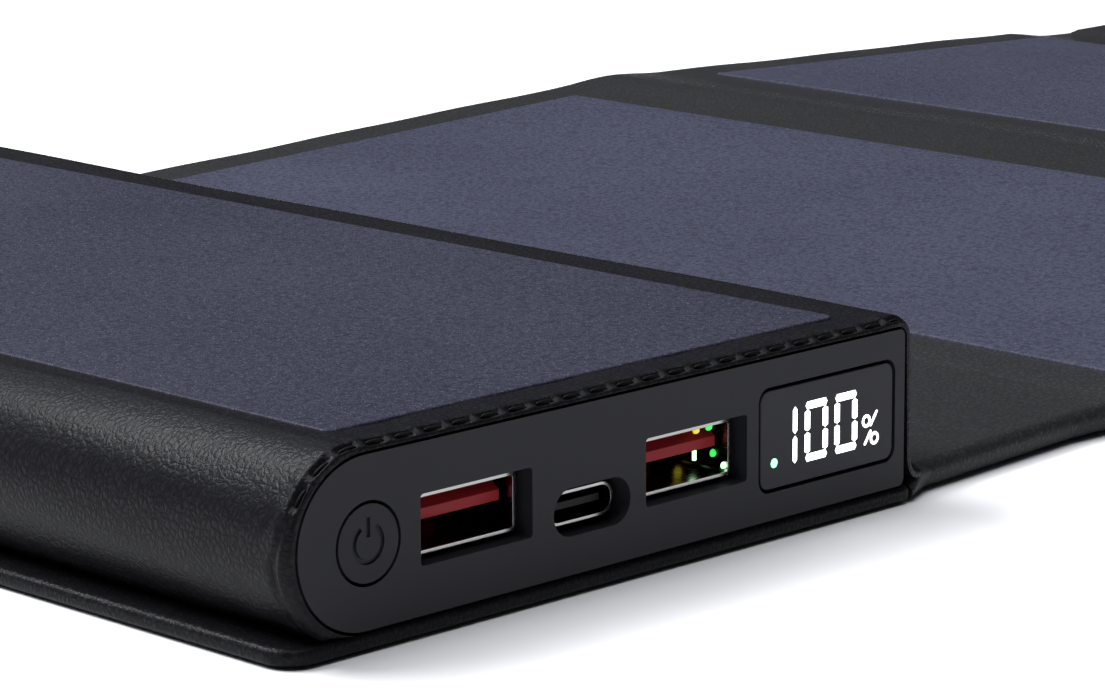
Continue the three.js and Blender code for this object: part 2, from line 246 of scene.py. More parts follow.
def rounded_slab(name, x, y, z, corners, edge, material):
    """A flat slab. Seen from above its outline is a rectangle with quarter-circle corners,
    whose radii at its low and its high end in X are corners.

    Seen from the side its edge is an arc of radius edge: at turn t the outline shrinks by
    edge * (1 - cos t) while the height moves by edge * sin t.
    """
    quarter = np.linspace(0, math.pi / 2, 9)
    turn = np.concatenate([quarter + k * math.pi / 2 for k in range(4)])
    sign_x = np.repeat([1, -1, -1, 1], len(quarter))
    sign_y = np.repeat([1, 1, -1, -1], len(quarter))
    corner = np.where(sign_x > 0, corners[1], corners[0])
    corner_x = np.where(sign_x > 0, x[1] - corner, x[0] + corner)
    corner_y = np.where(sign_y > 0, y[1] - corner, y[0] + corner)
    rise = np.linspace(0, math.pi / 2, 6)
    shrink = np.concatenate([edge * (1 - np.sin(rise)), edge * (1 - np.cos(rise))])
    height = np.concatenate([z[0] + edge * (1 - np.cos(rise)), z[1] - edge + edge * np.sin(rise)])
    left_over = corner[None, :] - shrink[:, None]
    radius = np.maximum(left_over, LEAST_RADIUS)
    moved = left_over - radius
    ring_x = corner_x + sign_x * moved + radius * np.cos(turn)
    ring_y = corner_y + sign_y * moved + radius * np.sin(turn)
    ring_z = np.repeat(height[:, None], len(turn), axis=1)
    rings = np.stack([ring_x, ring_y, ring_z], axis=-1)
    faces, index = skin(rings)
    faces += [index[0][::-1].tolist(), index[-1].tolist()]
    return closed_mesh(name, rings.reshape(-1, 3), faces, material, sharp=50)


def leather(name, grain, shine, dark, light):
    """Black imitation leather: irregular pebbles about 0.7 mm across with fine creases between
    them, shallow pores, and patches that are a little duller. grain scales all its relief."""
    material = finish_of(name, dark, 0.45, Specular_IOR_Level=shine)
    place = object_place(material)
    wander = node(material, "TexNoise", {"Vector": place, "Scale": 520.0, "Detail": 3.0})
    shift = node(
        material,
        "VectorMath",
        {0: wander.outputs["Color"], 1: (0.0011, 0.0011, 0.0011)},
        operation="MULTIPLY",
    )
    bent = node(material, "VectorMath", {0: place, 1: shift.outputs[0]}, operation="ADD")
    pebbles = node(
        material,
        "TexVoronoi",
        {"Vector": bent.outputs[0], "Scale": PEBBLES},
        feature="DISTANCE_TO_EDGE",
    )
    small = node(
        material,
        "TexVoronoi",
        {"Vector": bent.outputs[0], "Scale": SMALL_PEBBLES},
        feature="DISTANCE_TO_EDGE",
    )
    pores = node(material, "TexNoise", {"Vector": place, "Scale": PORES, "Detail": 2.0})
    domes = spread(material, pebbles.outputs["Distance"], 0.0, 1.0, 0.0, 0.32)
    bumps = spread(material, small.outputs["Distance"], 0.0, 0.35, 0.0, 0.3)
    height = node(material, "Math", {0: domes, 1: bumps}, operation="ADD").outputs[0]
    fine = node(
        material,
        "Bump",
        {"Height": pores.outputs["Fac"], "Strength": 0.12 * grain, "Distance": 0.00005},
    )
    bump = node(
        material,
        "Bump",
        {
            "Height": height,
            "Strength": 0.3 * grain,
            "Distance": 0.00011,
            "Normal": fine.outputs["Normal"],
        },
    )
    patches = node(material, "TexNoise", {"Vector": place, "Scale": 38.0, "Detail": 4.0})
    wear = spread(material, patches.outputs["Fac"], 0.30, 0.38)
    # Its colour follows the relief: lighter on the pebble tops, darker in the creases between
    # them.
    tone = tint(material, height, dark, light, 0.0, 1.2)
    join_shader(material, Normal=bump.outputs["Normal"], Roughness=wear, Base_Color=tone)
    return material


black_leather = leather("black_leather", 1.0, 0.075, BLACK, BLACK_PEBBLE_TOP)
leather_painted_lighter = leather("fold_out_leather_painted_lighter", 0.9, 0.07, FOLD_OUT_BLACK_PAINTED_LIGHTER, FOLD_OUT_PEBBLE_TOP_PAINTED_LIGHTER)

base_low, base_high = (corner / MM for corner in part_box("base_board"))
base = rounded_slab(
    "base_board_wrapped",
    (base_low.x, base_high.x),
    (base_low.y, base_high.y),
    (base_low.z, base_high.z + BOARD_WRAP),
    BOARD_CORNERS,
    BOARD_EDGE,
    black_leather,
)
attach(base, "body")
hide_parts("base_board")

# Leather sleeve: one skin of imitation leather pulled over the top, round the left side and
# down the right side, where it turns out flat towards the first hinge. Its front and rear
# edges are turned in and stitched, and the skin puckers between the stitches.
sleeve_low, sleeve_high = (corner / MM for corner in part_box("leather_sleeve"))
cap_low, cap_high = (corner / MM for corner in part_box("front_cap"))
strip_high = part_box("hinge_a_base_strip")[1] / MM
SKIN, THIN_SKIN = 1.1, 0.06
STITCH_PITCH, STITCH_LINE = 3.58, 0.62
RIM_REACH, RIM_DROP = 1.5, 0.8
SHOULDER, FOOT, FOOT_OUT = 2.4, 1.6, 0.25
FOLD_TOP = 3.2
TOE_Z, TOE_END = 1.82, 1.6
TOP_HOLLOW = 0.30
SETBACKS = (0.0, 1.6, 3.7, 1.5)


def sleeve_profile(count):
    """Points of the sleeve's outer line in X and Z, evenly spaced, with outward normals.

    It starts flat on the base board. Then come an arc round the left side, a straight top, a
    small arc at the right shoulder, a straight side that leans out a little, and a hollow arc
    that runs out flat. The skin thins where it comes down to the board on the left.
    """
    middle = (cap_low.z + cap_high.z) / 2
    radius = sleeve_high.z - middle
    centre_x = sleeve_low.x + radius
    right = sleeve_high.x
    toe = math.asin((middle - TOE_Z) / radius)
    left_arc = np.linspace(math.pi + toe, math.pi / 2, 90)
    top_arc = np.radians(np.linspace(90, 4, 14))
    foot_arc = np.radians(np.linspace(184, 270, 12))
    pieces = [
        np.array([[centre_x - TOE_END, TOE_Z]]),
        np.stack([centre_x + radius * np.cos(left_arc), middle + radius * np.sin(left_arc)], 1),
        np.stack(
            [
                right - SHOULDER + SHOULDER * np.cos(top_arc),
                sleeve_high.z - SHOULDER + SHOULDER * np.sin(top_arc),
            ],
            1,
        ),
        np.stack(
            [
                right + FOOT_OUT + FOOT + FOOT * np.cos(foot_arc),
                FOLD_TOP + FOOT + FOOT * np.sin(foot_arc),
            ],
            1,
        ),
        np.array([[max(strip_high.x - 2.2, right + 0.3 + FOOT), FOLD_TOP]]),
    ]
    line = np.concatenate(pieces)
    lengths = np.concatenate([[0], np.cumsum(np.linalg.norm(np.diff(line, axis=0), axis=1))])
    along = np.linspace(0, lengths[-1], count)
    spaced = np.stack([np.interp(along, lengths, line[:, k]) for k in (0, 1)], 1)
    tangent = np.gradient(spaced, axis=0)
    tangent /= np.linalg.norm(tangent, axis=1, keepdims=True)
    outward = np.stack([-tangent[:, 1], tangent[:, 0]], 1)
    across = np.clip(spaced[:, 0] - centre_x, 1 - radius, radius - 1)
    hollow = middle - np.sqrt((radius - SKIN) ** 2 - np.clip(across, SKIN - radius, 0) ** 2)
    on_toe = (spaced[:, 1] < TOE_Z + 0.15) & (spaced[:, 0] < 0)
    thick = np.where(on_toe, np.clip(hollow - spaced[:, 1], THIN_SKIN, SKIN), SKIN)
    return along, spaced, outward, thick


def stitch_places(along, line):
    """Distances of the stitches along the sleeve's line, from right shoulder to left side."""
    at_shoulder = (line[:, 0] > sleeve_high.x - 2.2) & (line[:, 1] > sleeve_high.z - 1)
    right = along[np.argmax(at_shoulder)]
    left = along[np.argmax(line[:, 1] > 13.5)]
    return np.arange(right, left, -STITCH_PITCH)


def front_setback(x):
    """How far back from the face the leather's front edge lies at x, in millimetres."""
    places = (sleeve_high.x + 0.3, strip_high.x, strip_high.x + 27, strip_high.x + 60)
    return np.interp(x, places, SETBACKS)


def edge_dip(depth_in, along, stitches, last):
    """How far the skin sinks, in millimetres, at a distance in from its stitched edge.

    The turned edge is a quarter ellipse. The seam is a shallow valley, each stitch presses
    its own slot into it, and behind it the skin swells a little between two stitches. Below
    the last stitch the valley moves back from the edge and deepens to a crease.
    """
    lip = np.clip(1 - depth_in / RIM_REACH, 0, 1)
    rim = RIM_DROP * (1 - np.sqrt(1 - lip**2))
    past = np.clip((last - along) / 5, 0, 1)[:, None]
    seam_line = STITCH_LINE + 1.2 * past
    valley = (0.06 + 0.34 * past) * np.exp(-(((depth_in[None, :] - seam_line) / 0.4) ** 2))
    nearest = np.min(np.abs(along[:, None] - stitches[None, :]), axis=1)
    slot = np.exp(-((nearest / 1.25) ** 6))
    pressed = 0.52 * slot[:, None] * np.exp(-(((depth_in - STITCH_LINE) / 0.36) ** 4))[None, :]
    swell = 0.12 * (1 - slot)[:, None] * np.exp(-(((depth_in - 1.5) / 0.8) ** 2))[None, :]
    return rim[None, :] + valley + pressed - swell


along, line, outward, thick = sleeve_profile(300)
stitches = stitch_places(along, line)
# Rows of points behind an edge: close together over the rim and the slots, then wider apart.
near = np.array([
    0, 0.02, 0.06, 0.12, 0.19, 0.25, 0.31, 0.37, 0.44, 0.53, 0.62, 0.71, 0.8, 0.87, 0.93, 0.99,
    1.06, 1.15, 1.3, 1.5, 1.75, 2.05, 2.4, 2.8, 3.5, 4.5, 6,
])
length = sleeve_high.y - sleeve_low.y
rows = np.concatenate([near, np.linspace(9, length - 9, 36), (length - near)[::-1]])
sunk = edge_dip(rows, along, stitches, stitches[-1] - 2)
sunk = sunk + edge_dip(length - rows, along, stitches, stitches[-1] - 2)
# The top is a little hollow under the panel. The skin also waves, and creases down the left.
flat_top = np.clip((line[:, 0] - sleeve_low.x - 6) / 5, 0, 1)
flat_top *= line[:, 1] > sleeve_high.z - 0.2
flat_top *= np.clip((sleeve_high.x - 2 - line[:, 0]) / 4, 0, 1)
sunk = sunk + (TOP_HOLLOW * flat_top)[:, None]
wave = 0.07 * np.sin(along[:, None] * 0.31 + rows[None, :] * 0.047)
wave = wave + 0.05 * np.sin(along[:, None] * 0.83 - rows[None, :] * 0.11 + 1.3)
side_part = np.clip((13 - line[:, 1]) / 6, 0, 1) * (line[:, 0] < 0)
crease_rows = np.exp(-(((rows - 5.5) / 2.2) ** 2)) + 0.6 * np.exp(-(((rows - 11) / 3.0) ** 2))
creases = 0.16 * side_part[:, None] * crease_rows[None, :] * np.sin(along * 1.15)[:, None]
offset = -sunk + (wave + creases) * np.clip(rows / 8, 0, 1)[None, :]
foot_fade = np.clip((along[-1] - along) / 3, 0, 1)[:, None]
offset = offset * np.where(rows[None, :] > 3, foot_fade, 1)
spare = (np.clip(thick - THIN_SKIN, 0, 1) / (SKIN - THIN_SKIN))[:, None]
offset = np.where(offset < 0, offset * spare, offset)
outer_x = line[:, :1] + outward[:, :1] * offset
outer_z = line[:, 1:] + outward[:, 1:] * offset
setback = front_setback(line[:, :1]) * np.clip(1 - rows / 30, 0, 1)[None, :]
outer_y = sleeve_low.y + rows[None, :] + setback
inner_x = np.repeat(line[:, :1] - outward[:, :1] * thick[:, None], len(rows), axis=1)
inner_z = np.repeat(line[:, 1:] - outward[:, 1:] * thick[:, None], len(rows), axis=1)
outer = np.stack([outer_x, outer_y, outer_z], axis=-1)
inner = np.stack([inner_x, outer_y, inner_z], axis=-1)[:, ::-1]
rings = np.concatenate([outer, inner], axis=1)
faces, index = skin(rings)


def end_strip(ring, flip=False):
    """Quads that close a thin loop, joining each point to the one straight across from it."""
    half = len(ring) // 2
    across = ring[::-1]
    quads = [[ring[k], ring[k + 1], across[k + 1], across[k]] for k in range(half - 1)]
    return [[int(v) for v in (quad[::-1] if flip else quad)] for quad in quads]


faces += end_strip(index[0]) + end_strip(index[-1], flip=True)
sleeve = closed_mesh("sleeve_leather", rings.reshape(-1, 3), faces, black_leather, sharp=70)
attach(sleeve, "body")
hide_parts("leather_sleeve")

# Stitching: waxed black thread along the sleeve's front and rear edges, one stitch every
# 3.6 mm. Each stitch lies in its slot a little aslant.
THREAD, STITCH_HALF = 0.2, 1.1
THREAD_DEPTH, END_DIP, SLANT = 0.56, 0.12, 0.12


def waxed_thread(name):
    """Black thread with a fine twist across it."""
    material = finish_of(name, (0.003, 0.003, 0.0035), 0.6, Specular_IOR_Level=0.1)
    inputs = {"Vector": object_place(material), "Scale": 900.0, "Distortion": 1.5}
    twist = node(material, "TexWave", inputs)
    bump = node(
        material, "Bump", {"Height": twist.outputs["Fac"], "Strength": 0.3, "Distance": 0.00004}
    )
    join_shader(material, Normal=bump.outputs["Normal"])
    return material


def stitch_row(edge_y, inward):
    """Thread capsules along the seam: at step a from -1 to 1 the radius is sqrt(1 - a^4)."""
    steps = np.linspace(-0.995, 0.995, 9)
    around = np.linspace(0, 2 * math.pi, 9)[:-1]
    points, faces = [], []
    for place in stitches:
        centre = np.array([np.interp(place, along, line[:, k]) for k in (0, 1)])
        normal = np.array([np.interp(place, along, outward[:, k]) for k in (0, 1)])
        where = place + steps * STITCH_HALF
        path = np.stack([np.interp(where, along, line[:, k]) for k in (0, 1)], 1)
        path = path - normal * (THREAD_DEPTH + END_DIP * steps[:, None] ** 4)
        radius = THREAD * np.sqrt(1 - steps**4)
        lift = radius[:, None] * np.cos(around)
        spread_y = radius[:, None] * np.sin(around) - inward * SLANT * steps[:, None]
        ring_x = path[:, :1] + normal[0] * lift
        ring_z = path[:, 1:] + normal[1] * lift
        ring_y = edge_y + inward * STITCH_LINE + spread_y
        rings = np.stack([ring_x, ring_y, ring_z], axis=-1)
        quads, index = skin(rings)
        first = len(points)
        points += rings.reshape(-1, 3).tolist()
        quads += [index[0][::-1].tolist(), index[-1].tolist()]
        faces += [[v + first for v in face] for face in quads]
    return points, faces


thread = waxed_thread("waxed_thread")
for name, edge_y, inward in (
    ("front_stitching", sleeve_low.y, 1),
    ("rear_stitching", sleeve_high.y, -1),
):
    points, faces = stitch_row(edge_y, inward)
    row = closed_mesh(name, points, faces, thread)
    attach(row, "body")


# End caps and power key: injection-moulded dark grey plastic with a fine spark-eroded skin
# and small radii on every edge. The caps close the battery tube at both ends.
CAP_GREY, KEY_GREY = (0.018, 0.018, 0.022), (0.017, 0.017, 0.021)
MERGE = 2e-6
FLAT_ANGLE, SHARP_ANGLE = math.radians(0.6), math.radians(32)
CAP_EDGE, KEY_EDGE, SOCKET_EDGE, WINDOW_EDGE = 0.18, 0.07, 0.06, 0.12


def moulded(name, colour, roughness=0.46):
    """Moulded plastic: fine erosion texture, slight changes of gloss and of tone."""
    material = finish_of(name, colour, roughness, Specular_IOR_Level=0.14)
    place = object_place(material)
    sparks = node(material, "TexNoise", {"Vector": place, "Scale": 4200.0, "Detail": 3.0})
    flow = node(material, "TexNoise", {"Vector": place, "Scale": 45.0, "Detail": 3.0})
    bump = node(
        material, "Bump", {"Height": sparks.outputs["Fac"], "Strength": 0.18, "Distance": 0.00003}
    )
    light = tuple(1.22 * c for c in colour)
    dark = tuple(0.86 * c for c in colour)
    join_shader(
        material,
        Normal=bump.outputs["Normal"],
        Base_Color=tint(material, flow.outputs["Fac"], dark, light),
        Roughness=spread(material, flow.outputs["Fac"], roughness - 0.05, roughness + 0.06),
    )
    return material


def eased(cad_name, name, material, radius):
    """A copy of a CAD solid with its triangles merged into flat faces and its edges rounded.

    It takes the place of the CAD solid and rides its body. MERGE is in metres.
    """
    mesh = frame["nodes"][cad_name].data.copy()
    mesh.name = name
    work = bmesh.new()
    work.from_mesh(mesh)
    bmesh.ops.remove_doubles(work, verts=work.verts, dist=MERGE)
    bmesh.ops.dissolve_limit(work, angle_limit=FLAT_ANGLE, verts=work.verts, edges=work.edges)
    work.to_mesh(mesh)
    work.free()
    mesh.materials.clear()
    mesh.materials.append(material)
    mesh.polygons.foreach_set("use_smooth", [True] * len(mesh.polygons))
    mesh.polygons.foreach_set("material_index", [0] * len(mesh.polygons))
    mesh.set_sharp_from_angle(angle=SHARP_ANGLE)
    piece = bpy.data.objects.new(name, mesh)
    bpy.context.scene.collection.objects.link(piece)
    bevel = piece.modifiers.new("edges", "BEVEL")
    bevel.width = radius * MM
    bevel.segments = 2
    bevel.limit_method = "ANGLE"
    bevel.angle_limit = SHARP_ANGLE
    bevel.harden_normals = True
    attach(piece, frame["nodes"][cad_name]["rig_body"])
    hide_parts(cad_name)
    return piece


cap_plastic = moulded("cap_plastic", CAP_GREY)
for cad_name, name in (("front_cap", "front_cap_moulding"), ("rear_cap", "rear_cap_moulding")):
    eased(cad_name, name, cap_plastic, CAP_EDGE)
key_plastic = moulded("key_plastic", KEY_GREY)
eased("power_button", "power_key", key_plastic, KEY_EDGE)


# Sockets: folded nickel-plated shells set back in the face, with red tongues in the two
# large ones and a black tongue in the small one.
# The deep colour is painted shade inside the sockets.
RIM_BRIGHT, DEEP_PAINTED_SHADE = (0.36, 0.35, 0.34), (0.05, 0.045, 0.045)
RIM_FROM, RIM_TO = 0.0018, 0.0028


def nickel(name):
    """Nickel plate with fine drawing lines: bright at the rim, with shade painted in deeper
    inside, where its colour turns dark.

    It changes from one to the other between RIM_FROM and RIM_TO metres behind the face.
    """
    material = finish_of(name, (0.6, 0.59, 0.57), 0.2, metallic=1.0)
    place = object_place(material)
    depth_in = node(material, "SeparateXYZ", {0: place}).outputs["Y"]
    rim = (cap_low.y * MM + RIM_FROM, cap_low.y * MM + RIM_TO)
    # Painted shade: the plate's colour darkens with depth into the socket.
    painted_depth_shade = tint(material, depth_in, RIM_BRIGHT, DEEP_PAINTED_SHADE, *rim)
    drawn = node(material, "Mapping", {"Vector": place, "Scale": (900.0, 90.0, 900.0)})
    lines = node(material, "TexNoise", {"Vector": drawn.outputs[0], "Scale": 6.0, "Detail": 3.0})
    bump = node(
        material, "Bump", {"Height": lines.outputs["Fac"], "Strength": 0.08, "Distance": 0.00002}
    )
    join_shader(
        material,
        Normal=bump.outputs["Normal"],
        Base_Color=painted_depth_shade,
        Roughness=spread(material, lines.outputs["Fac"], 0.14, 0.28),
    )
    return material


nickel_plate = nickel("nickel_plate")
red_nylon = moulded("red_nylon", (0.27, 0.014, 0.018), 0.34)
black_nylon = moulded("black_nylon", (0.012, 0.012, 0.013), 0.38)
for cad_name, material, slot in (
    ("usb_a_shell_left", nickel_plate, "steel"),
    ("usb_a_shell_right", nickel_plate, "steel"),
    ("usb_c_shell", nickel_plate, "steel"),
    ("usb_a_tongue_left", red_nylon, "red_tongue"),
    ("usb_a_tongue_right", red_nylon, "red_tongue"),
    ("usb_c_tongue", black_nylon, "dark_tongue"),
):
    piece = eased(cad_name, cad_name + "_formed", material, SOCKET_EDGE)

# Socket contacts: four gold-plated spring strips under each red tongue. They start a little
# behind the tongue's tip and bow down towards the front.
gold = finish_of("gold_plate", (0.83, 0.62, 0.28), 0.25, metallic=1.0)
gold_lines = node(gold, "TexNoise", {"Vector": object_place(gold), "Scale": 2500.0})
join_shader(gold, Roughness=spread(gold, gold_lines.outputs["Fac"], 0.2, 0.34))
CONTACT_X = (-3.5, -1.0, 1.0, 3.5)
CONTACT_HALF_WIDTH, CONTACT_HALF_THICK, CONTACT_LENGTH = 0.4, 0.06, 8
CONTACT_BOW = 0.35


def contact_strips(centre_x, under_z, front_y):
    """Strips that hang under the tongue: the height dips as a half sine towards the front."""
    points, faces = [], []
    run = np.linspace(0, 1, 12)
    bow = CONTACT_BOW * np.sin(math.pi * np.clip(1.6 * run, 0, 1)) * (run < 0.63)
    sag = under_z - 0.12 - bow
    width, thick = CONTACT_HALF_WIDTH, CONTACT_HALF_THICK
    box = [(-width, thick), (width, thick), (width, -thick), (-width, -thick)]
    start_y = front_y + 0.7
    for offset in CONTACT_X:
        rings = np.array([
            [[centre_x + offset + dx, start_y + CONTACT_LENGTH * t, z + dz] for dx, dz in box]
            for t, z in zip(run, sag)
        ])
        quads, index = skin(rings)
        quads += [index[0][::-1].tolist(), index[-1].tolist()]
        faces += [[v + len(points) for v in face] for face in quads]
        points += rings.reshape(-1, 3).tolist()
    return points, faces


for side_name in ("left", "right"):
    low, high = (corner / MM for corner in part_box("usb_a_tongue_" + side_name))
    tongue_under = (cap_low.z + cap_high.z) / 2 - 0.12
    points, faces = contact_strips((low.x + high.x) / 2, tongue_under, low.y)
    strips = closed_mesh("socket_contacts_" + side_name, points, faces, gold, sharp=30)
    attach(strips, "body")


# Display: a smoked window let into the face with a narrow groove round it. Behind it white
# bars make the charge figure, with a small green lamp at its lower left.
smoked = moulded("smoked_window", (0.021, 0.021, 0.027), 0.4)
eased("display_window", "display_lens", smoked, WINDOW_EDGE)
lens_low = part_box("display_window")[0] / MM
FIGURE_Y = lens_low.y
FIGURE_LOW, FIGURE_HIGH = 7.05, 13.15
STROKE, THIN_STROKE, PERCENT_STROKE, BAR_GAP = 0.78, 0.62, 0.32, 0.07
ONE_X, NOUGHTS_X = 25.45, ((26.9, 30.35), (31.35, 34.8))
PERCENT_RING = 0.52


def glow(name, colour, strength):
    """A glowing colour, a little weaker in grains: light coming through the window, or a painted
    glint.
    """
    material = finish_of(name, colour, 0.4, Emission_Color=(*colour, 1))
    grains = node(material, "TexNoise", {"Vector": object_place(material), "Scale": 1800.0})
    lit = spread(material, grains.outputs["Fac"], 0.9 * strength, strength)
    join_shader(material, Emission_Strength=lit)
    return material


def plaques(name, outlines, front_y, depth, material):
    """Thin flat plates drawn in X and Z: each outline is a face, copied back by depth."""
    points, faces = [], []
    for outline in outlines:
        flat = np.asarray(outline, float)
        count = len(flat)
        first = len(points)
        for y in (front_y, front_y + depth):
            points += np.stack([flat[:, 0], np.full(count, y), flat[:, 1]], 1).tolist()
        faces.append([first + k for k in range(count)])
        faces.append([first + count + k for k in range(count)][::-1])
        for k in range(count):
            after = (k + 1) % count
            faces.append([first + k, first + count + k, first + count + after, first + after])
    return closed_mesh(name, points, faces, material, sharp=30)


def bar(x0, z0, x1, z1, width, point=0.5):
    """A straight bar between two points; its ends come in by point times its width."""
    start, end = np.array([x0, z0]), np.array([x1, z1])
    way = (end - start) / np.linalg.norm(end - start)
    across = np.array([-way[1], way[0]]) * width / 2
    tip = way * width * point
    near_end, far_end = start + tip, end - tip
    return [start, near_end + across, far_end + across, end, far_end - across, near_end - across]


def nought(x0, x1, z0, z1, width):
    """The six outer bars of a seven-bar figure, with pointed ends and a hair's gap between."""
    inset, gap = width / 2, BAR_GAP
    left, right, low, high = x0 + inset, x1 - inset, z0 + inset, z1 - inset
    middle = (z0 + z1) / 2
    cut_off = inset * 0.7
    return [
        bar(left - cut_off, high, right + cut_off, high, width, 0.3),
        bar(left - cut_off, low, right + cut_off, low, width, 0.3),
        bar(left, high - inset - gap, left, middle + gap, width, 0.25),
        bar(right, high - inset - gap, right, middle + gap, width, 0.25),
        bar(left, middle - gap, left, low + inset + gap, width, 0.25),
        bar(right, middle - gap, right, low + inset + gap, width, 0.25),
    ]


def ring_outline(centre_x, centre_z, radius, width):
    """A thin ring as eight short outlines, each between two turns of its two circles."""
    turns = np.linspace(0, 2 * math.pi, 9)
    sectors = []
    for start, end in zip(turns[:-1], turns[1:]):
        arc = np.linspace(start, end, 4)
        edge = np.stack([np.cos(arc), np.sin(arc)], 1)
        shape = np.concatenate([edge * (radius + width / 2), edge[::-1] * (radius - width / 2)])
        sectors.append(shape + np.array([centre_x, centre_z]))
    return sectors


figures = [
    bar(ONE_X, FIGURE_HIGH - 0.2, ONE_X, 10.2, THIN_STROKE),
    bar(ONE_X, 10.0, ONE_X, FIGURE_LOW + 0.15, THIN_STROKE),
]
for x_from, x_to in NOUGHTS_X:
    figures += nought(x_from, x_to, FIGURE_LOW, FIGURE_HIGH, STROKE)
percent = ring_outline(36.2, 9.65, PERCENT_RING, PERCENT_STROKE)
percent += ring_outline(37.45, 7.7, PERCENT_RING, PERCENT_STROKE)
percent.append(bar(36.75, 9.0, 37.85, 10.55, PERCENT_STROKE))
percent.append(bar(35.9, 7.15, 36.95, 8.65, PERCENT_STROKE))
white_light = glow("white_bars", (0.95, 0.97, 1.0), 3.2)
shown = plaques("charge_figure", figures + percent, FIGURE_Y - 0.015, 0.1, white_light)
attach(shown, "body")

lamp_low, lamp_high = (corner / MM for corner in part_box("status_led"))


def dome(name, centre, radius, material, flatten):
    """A small dome facing the front: a lamp's lens, or a painted glint. At turn t its ring has
    radius cos t, and stands out by flatten times sin t, both in radii."""
    rise = np.linspace(0, math.pi / 2 - 0.05, 6)
    around = np.linspace(0, 2 * math.pi, 21)[:-1]
    ring_x = centre[0] + radius * np.cos(rise)[:, None] * np.cos(around)
    ring_z = centre[2] + radius * np.cos(rise)[:, None] * np.sin(around)
    ring_y = np.repeat((centre[1] - flatten * radius * np.sin(rise))[:, None], len(around), axis=1)
    rings = np.stack([ring_x, ring_y, ring_z], axis=-1)
    faces, index = skin(rings)
    faces += [index[0][::-1].tolist(), index[-1].tolist()]
    return closed_mesh(name, rings.reshape(-1, 3), faces, material)


green_light = glow("green_lamp", (0.25, 0.98, 0.45), 2.6)
lamp_x = (lamp_low.x + lamp_high.x) / 2
lamp_z = (lamp_low.z + lamp_high.z) / 2
status = dome("status_lamp", (lamp_x, FIGURE_Y + 0.02, lamp_z), 0.5, green_light, 0.2)
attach(status, "body")

# Painted glints: tiny glowing green and amber domes on the right wall and the tongue of the right
# large socket, and a glowing slit, paint in the light of a lamp reflected inside that socket.
port_low, port_high = (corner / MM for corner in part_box("usb_a_shell_right"))
wall_x = port_high.x - 0.5
amber_painted_glint = glow("amber_socket_glint", (0.75, 0.62, 0.05), 0.8)
green_painted_glint = glow("green_painted_glint", (0.05, 0.85, 0.12), 1.0)
pale_painted_glint = glow("pale_green_painted_glint", (0.55, 1.0, 0.55), 2.4)
for name, place, size, material in (
    ("socket_glint_low", (wall_x, cap_low.y + 2.2, 8.1), 0.34, pale_painted_glint),
    ("socket_glint_mid", (wall_x, cap_low.y + 3.6, 9.1), 0.4, green_painted_glint),
    ("socket_glint_deep", (wall_x, cap_low.y + 6.4, 9.6), 0.42, pale_painted_glint),
    ("socket_glint_back", (wall_x, cap_low.y + 8.4, 8.9), 0.5, amber_painted_glint),
    ("tongue_glint_right", (wall_x - 1.6, cap_low.y + 2.7, 12.2), 0.42, green_painted_glint),
    ("tongue_glint_left", (wall_x - 3.2, cap_low.y + 2.9, 12.1), 0.42, amber_painted_glint),
):
    glint_dome = dome(name, place, size, material, 1.0)
    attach(glint_dome, "body")
slit_from, slit_to = wall_x - 3.4, wall_x - 3.05
slit_top = (port_low.z + port_high.z) / 2
slit_foot = slit_top - 1
slit = [(slit_from, slit_foot), (slit_to, slit_foot), (slit_to, slit_top), (slit_from, slit_top)]
# The glowing slit is a painted glint too.
glint_streak = plaques("socket_glint_slit", [slit], cap_low.y + 2.9, 0.25, pale_painted_glint)
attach(glint_streak, "body")

# Solar panels: solar cells sealed in a dull film with a fine pebble texture, on a thin stiff
# laminate with eased edges. One lies on the body, the others in the fold-out leaves.
FILM_PEBBLES, FILM_GRIT = 1700.0, 6500.0
PAINTED_GLINT_TONE = (0.12, 0.12, 0.16, 1)
PANEL_CORNER, PANEL_EDGE, PANEL_PROUD = 1.2, 0.3, 0.12


def textured_film(name, dark, light):
    """Film over solar cells: pebbles half a millimetre across, fine glints painted in as pale
    specks, faint clouding.
    """
    material = finish_of(name, dark, 0.4, Specular_IOR_Level=0.06)
    place = object_place(material)
    inputs = {"Vector": place, "Scale": FILM_PEBBLES}
    pebbles = node(material, "TexVoronoi", inputs, feature="SMOOTH_F1")
    grit = node(material, "TexNoise", {"Vector": place, "Scale": FILM_GRIT, "Detail": 2.0})
    cloud = node(material, "TexNoise", {"Vector": place, "Scale": 22.0, "Detail": 5.0})
    inputs = {0: pebbles.outputs["Distance"], 1: grit.outputs["Fac"]}
    height = node(material, "Math", inputs, operation="ADD")
    bump = node(
        material, "Bump", {"Height": height.outputs[0], "Strength": 0.45, "Distance": 0.00006}
    )
    # Painted highlight: pale specks stand in for the film's fine glints of light.
    painted_glint_specks = spread(material, grit.outputs["Fac"], 0.0, 1.0, 0.6, 0.7)
    broad_tone = tint(material, cloud.outputs["Fac"], dark, light)
    pit_shade = spread(material, pebbles.outputs["Distance"], 1.3, 0.74, 0.15, 0.7)
    inputs = {0: broad_tone, "Scale": pit_shade}
    body_tone = node(material, "VectorMath", inputs, operation="SCALE").outputs[0]
    inputs = {0: painted_glint_specks, 6: body_tone, 7: PAINTED_GLINT_TONE}
    tone = node(material, "Mix", inputs, data_type="RGBA").outputs[2]
    join_shader(
        material,
        Normal=bump.outputs["Normal"],
        Base_Color=tone,
        Roughness=spread(material, cloud.outputs["Fac"], 0.36, 0.46),
    )
    return material


